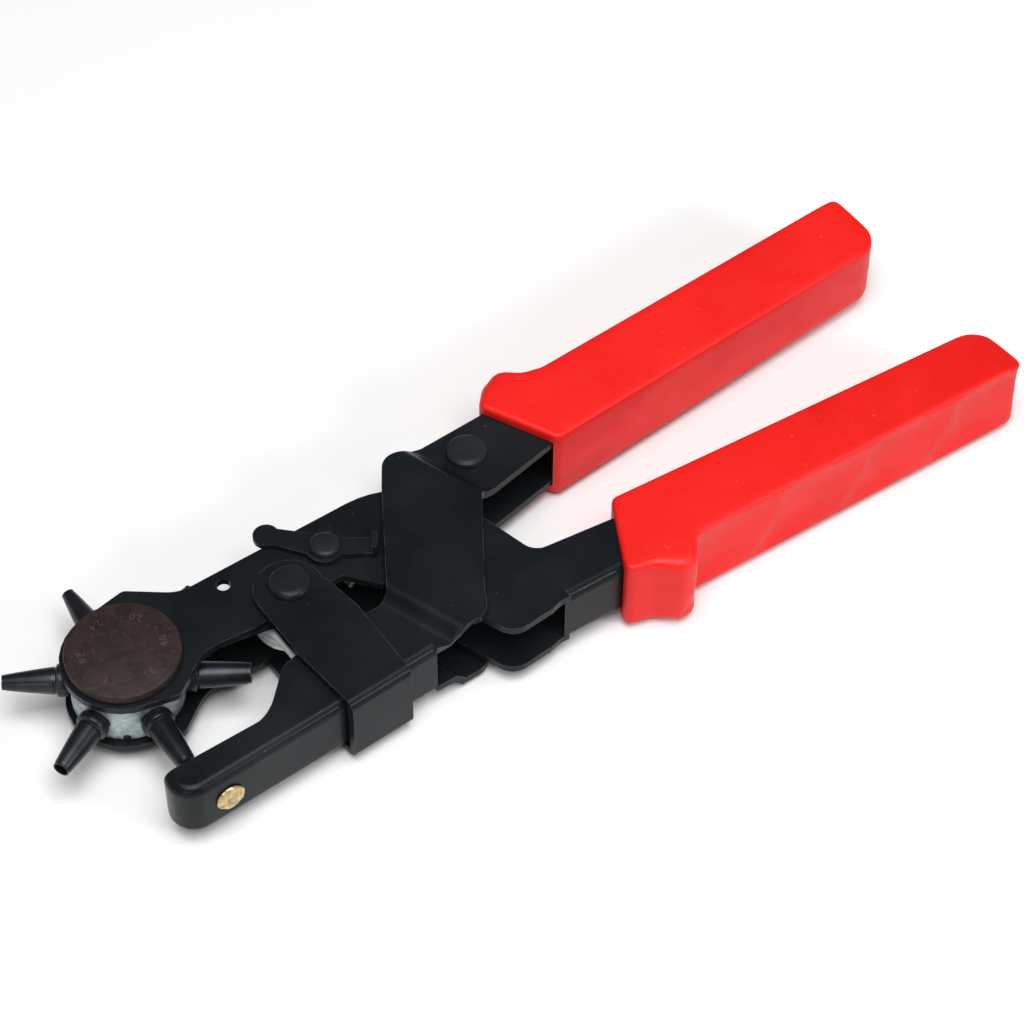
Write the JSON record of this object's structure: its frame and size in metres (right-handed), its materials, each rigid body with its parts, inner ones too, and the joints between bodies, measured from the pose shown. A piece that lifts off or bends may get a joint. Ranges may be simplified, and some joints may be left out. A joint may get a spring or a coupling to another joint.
{
  "type": "rotary hole punch",
  "caption": "Pliers-style hole punch for leather: a revolving head of hollow cutting tubes closes on a brass anvil as the folded-steel levers are squeezed.",
  "frame": {"origin": "centre of the main pivot rivet's bottom head, the lowest plane of the tool lying flat", "axes": "+X from the main pivot towards the handles' ends, +Y towards the turret's side, +Z along the pivot's axis, up"},
  "size_m": [0.2397, 0.0788, 0.024],
  "materials": {
    "frame": "black lacquer, semi-gloss",
    "lever": "black lacquer, semi-gloss",
    "pivot_strap": "black lacquer, semi-gloss",
    "pivot_rivet": "blackened steel, semi-gloss",
    "pivot_sleeve": "turned",
    "rear_rivet": "blackened steel, semi-gloss",
    "rear_spacer": "turned",
    "latch_lever": "black lacquer, satin",
    "latch_rivet": "blackened steel, semi-gloss",
    "latch_sleeve": "turned",
    "return_spring": "bright plated wire",
    "turret_drum": "zinc plated, dull",
    "punch_tube_1": "black oxide",
    "punch_tube_2": "black oxide",
    "punch_tube_3": "black oxide",
    "punch_tube_4": "black oxide",
    "punch_tube_5": "black oxide",
    "punch_tube_6": "black oxide",
    "turret_axle": "turned",
    "axle_washer": "stamped",
    "size_dial": "moulded, fine grain",
    "detent_ball": "polished",
    "detent_leaf": "spring steel",
    "leaf_rivet": "plain",
    "anvil": "cast, hammered shank end",
    "upper_grip": "moulded vinyl, soft gloss",
    "lower_grip": "moulded vinyl, soft gloss"
  },
  "bodies": {
    "frame_body": {"frame": "frame", "lower_grip": "lower_grip", "latch_rivet": "latch_rivet", "latch_sleeve": "latch_sleeve", "detent_ball": "detent_ball", "detent_leaf": "detent_leaf", "leaf_rivet": "leaf_rivet"},
    "lever_body": {"lever": "lever", "pivot_strap": "pivot_strap", "anvil": "anvil", "upper_grip": "upper_grip", "pivot_rivet": "pivot_rivet", "pivot_sleeve": "pivot_sleeve", "rear_rivet": "rear_rivet", "rear_spacer": "rear_spacer", "return_spring": "return_spring"},
    "turret_body": {"turret_drum": "turret_drum", "punch_tube_1": "punch_tube_1", "punch_tube_2": "punch_tube_2", "punch_tube_3": "punch_tube_3", "punch_tube_4": "punch_tube_4", "punch_tube_5": "punch_tube_5", "punch_tube_6": "punch_tube_6", "turret_axle": "turret_axle", "axle_washer": "axle_washer", "size_dial": "size_dial"},
    "latch_body": {"latch_lever": "latch_lever"}
  },
  "joints": [
    {"name": "jaw_pivot", "type": "hinge", "parent": "frame_body", "child": "lever_body", "pos_m": [0, 0, 0.012], "axis": [0, 0, 1], "range_deg": [-4, 8], "stiffness_Nm_per_rad": 0.5, "deforming": ["return_spring"]},
    {"name": "turret_spin", "type": "hinge", "parent": "frame_body", "child": "turret_body", "pos_m": [-0.0395, 0.0055, 0.012], "axis": [0, 0, 1], "continuous": true},
    {"name": "latch_swing", "type": "hinge", "parent": "frame_body", "child": "latch_body", "pos_m": [0.0123, 0.0049, 0.021], "axis": [0, 0, 1], "range_deg": [-39, 20]}
  ],
  "couplings": [
    {"joint": "latch_swing", "follows": "jaw_pivot", "ratio": -4.8}
  ]
}
